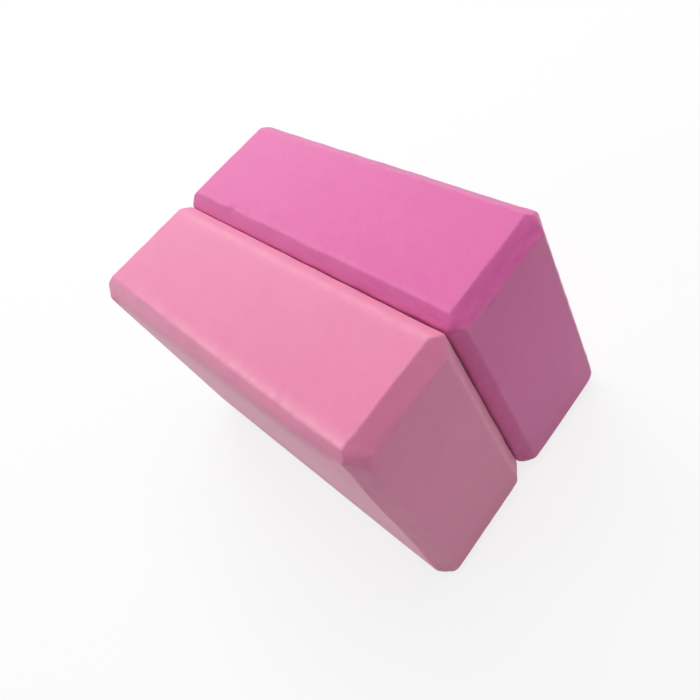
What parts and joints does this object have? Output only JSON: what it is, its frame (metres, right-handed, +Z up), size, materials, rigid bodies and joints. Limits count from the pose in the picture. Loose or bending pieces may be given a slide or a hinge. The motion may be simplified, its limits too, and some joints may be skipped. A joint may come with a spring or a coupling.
{
  "type": "foam yoga block",
  "caption": "Foam yoga blocks: chamfered rectangular foam bricks standing side by side, used to raise or support hands, feet or body in yoga and pilates.",
  "frame": {"origin": "on the floor under the pair, midway between the two blocks and midway along their length", "axes": "+X along the blocks' length, +Y from the front block across to the rear block, +Z up, with both blocks standing on a long narrow face"},
  "size_m": [0.2286, 0.1528, 0.1524],
  "materials": {
    "pale_pink_foam": "matte closed-cell foam, skived smooth, with a faint soft sheen",
    "deep_pink_foam": "matte closed-cell foam, skived smooth, with a faint soft sheen"
  },
  "bodies": {
    "front": {"front_block": "pale_pink_foam"},
    "rear": {"rear_block": "deep_pink_foam"}
  },
  "joints": [
    {"name": "set_apart", "type": "slide", "parent": "front", "child": "rear", "axis": [0, 1, 0], "range_m": [0, 0.3]}
  ]
}
